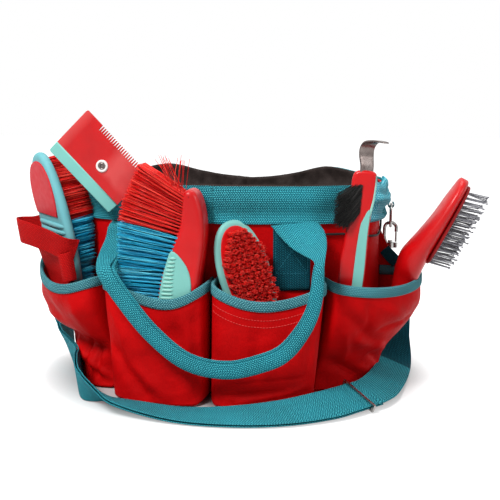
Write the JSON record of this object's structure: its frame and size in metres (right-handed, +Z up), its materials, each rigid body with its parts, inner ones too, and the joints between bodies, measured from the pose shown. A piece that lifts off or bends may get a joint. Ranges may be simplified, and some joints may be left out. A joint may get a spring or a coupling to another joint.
{
  "type": "grooming bag",
  "caption": "Oval fabric grooming tote with bellows pockets, webbing rim and handles, clip-on shoulder strap and stowed horse brushes, comb and hoof pick",
  "frame": {"origin": "middle of the flat underside", "axes": "+Z up, +X along the length toward the bag's right end as seen from the front, -Y toward the front pockets and handle"},
  "size_m": [0.4988, 0.3613, 0.2912],
  "materials": {
    "red_fabric": "plain-woven polyester, slight sheen",
    "dark_lining": "coated dark lining cloth",
    "board": "dark stiffener board",
    "teal_webbing": "herringbone-woven webbing",
    "teal_tape": "narrow woven binding tape",
    "steel": "bright plated steel",
    "red_plastic": "moulded, semi-gloss",
    "red_clear_plastic": "translucent, glossy",
    "mint_rubber": "soft-touch, satin",
    "red_bristle": "stiff synthetic bristle",
    "blue_bristle": "stiff synthetic bristle",
    "black_bristle": "stiff synthetic bristle",
    "red_webbing": "ribbed narrow webbing",
    "pin_steel": "dull steel pins on a dark cushion"
  },
  "bodies": {
    "bag": {"body_shell": "red_fabric", "lining": "dark_lining", "base_board": "board", "rim_band": "teal_webbing", "pocket_front_left": "red_fabric", "binding_front_left": "teal_tape", "pocket_front_right": "red_fabric", "binding_front_right": "teal_tape", "pocket_end_left": "red_fabric", "binding_end_left": "teal_tape", "pocket_end_right": "red_fabric", "binding_end_right": "teal_tape", "pocket_back_left": "red_fabric", "binding_back_left": "teal_tape", "pocket_back_right": "red_fabric", "binding_back_right": "teal_tape", "anchor_front_left": "teal_webbing", "anchor_front_right": "teal_webbing", "anchor_back_left": "teal_webbing", "anchor_back_right": "teal_webbing", "ring_loop_left": "teal_tape", "swivel_eye_left": "steel", "strap_fold_left": "teal_webbing", "ring_loop_right": "teal_tape", "swivel_eye_right": "steel", "strap_fold_right": "teal_webbing", "shoulder_strap": "teal_webbing", "strap_return": "teal_webbing"},
    "front_handle": {"front_handle": "teal_webbing"},
    "back_handle": {"back_handle": "teal_webbing"},
    "ring_left": {"ring_left": "steel"},
    "ring_right": {"ring_right": "steel"},
    "hook_left": {"snap_hook_left": "steel"},
    "hook_right": {"snap_hook_right": "steel"},
    "gate_left": {"hook_gate_left": "steel"},
    "gate_right": {"hook_gate_right": "steel"},
    "slider": {"strap_slider": "steel"},
    "dandy_brush": {"dandy_back": "red_plastic", "dandy_grip": "mint_rubber", "dandy_bristles_red": "red_bristle", "dandy_bristles_blue": "blue_bristle"},
    "mane_comb": {"comb_plate": "red_clear_plastic", "comb_grip": "mint_rubber", "comb_eyelet": "steel"},
    "body_brush": {"brush_back": "mint_rubber", "brush_inlay": "red_plastic", "brush_bristles_red": "red_bristle", "brush_bristles_blue": "blue_bristle", "brush_hand_strap": "red_webbing"},
    "face_brush": {"face_brush_back": "mint_rubber", "face_brush_tufts": "red_bristle"},
    "hoof_pick": {"pick_handle": "red_plastic", "pick_grip": "mint_rubber", "pick_brush": "black_bristle", "pick_hook": "steel"},
    "pin_brush": {"pin_brush_body": "red_plastic", "pin_brush_pins": "pin_steel"}
  },
  "joints": [
    {"name": "front_handle_swing", "type": "hinge", "parent": "bag", "child": "front_handle", "pos_m": [0, -0.0955, 0.178], "axis": [-1, 0, 0], "range_deg": [0, 108]},
    {"name": "back_handle_swing", "type": "hinge", "parent": "bag", "child": "back_handle", "pos_m": [0, 0.0955, 0.168], "axis": [1, 0, 0], "range_deg": [0, 122]},
    {"name": "ring_left_swing", "type": "hinge", "parent": "bag", "child": "ring_left", "pos_m": [-0.1762, 0.024, 0.1885], "axis": [0, 1, 0], "range_deg": [-3, 3]},
    {"name": "ring_right_swing", "type": "hinge", "parent": "bag", "child": "ring_right", "pos_m": [0.1762, 0.024, 0.1885], "axis": [0, 1, 0], "range_deg": [-3, 3]},
    {"name": "hook_left_swivel", "type": "hinge", "parent": "bag", "child": "hook_left", "pos_m": [-0.1762, 0.024, 0.1399], "axis": [0, 0, 1], "range_deg": [-15, 15]},
    {"name": "hook_right_swivel", "type": "hinge", "parent": "bag", "child": "hook_right", "pos_m": [0.1762, 0.024, 0.1399], "axis": [0, 0, 1], "range_deg": [-15, 15]},
    {"name": "gate_left_press", "type": "hinge", "parent": "hook_left", "child": "gate_left", "pos_m": [-0.1824, 0.024, 0.1466], "axis": [0, 1, 0], "range_deg": [0, 22], "stiffness_Nm_per_rad": 0.02, "springref_deg": -11.46},
    {"name": "gate_right_press", "type": "hinge", "parent": "hook_right", "child": "gate_right", "pos_m": [0.1824, 0.024, 0.1466], "axis": [0, -1, 0], "range_deg": [0, 22], "stiffness_Nm_per_rad": 0.02, "springref_deg": -11.46},
    {"name": "slider_travel", "type": "slide", "parent": "bag", "child": "slider", "axis": [0.6606, 0.7507, 0], "range_m": [-0.006, 0.006]},
    {"name": "dandy_brush_lift", "type": "slide", "parent": "bag", "child": "dandy_brush", "axis": [0, 0, 1], "range_m": [0, 0.24]},
    {"name": "mane_comb_lift", "type": "slide", "parent": "bag", "child": "mane_comb", "axis": [0, 0, 1], "range_m": [0, 0.15]},
    {"name": "body_brush_lift", "type": "slide", "parent": "bag", "child": "body_brush", "axis": [-0.2151, 0, 0.9766], "range_m": [0, 0.15]},
    {"name": "face_brush_lift", "type": "slide", "parent": "bag", "child": "face_brush", "axis": [-0.1851, -0.12, 0.9754], "range_m": [0, 0.1]},
    {"name": "hoof_pick_lift", "type": "slide", "parent": "bag", "child": "hoof_pick", "axis": [0.085, 0, 0.9964], "range_m": [0, 0.16]},
    {"name": "pin_brush_lift", "type": "slide", "parent": "bag", "child": "pin_brush", "axis": [0.452, 0, 0.892], "range_m": [0, 0.16]}
  ]
}
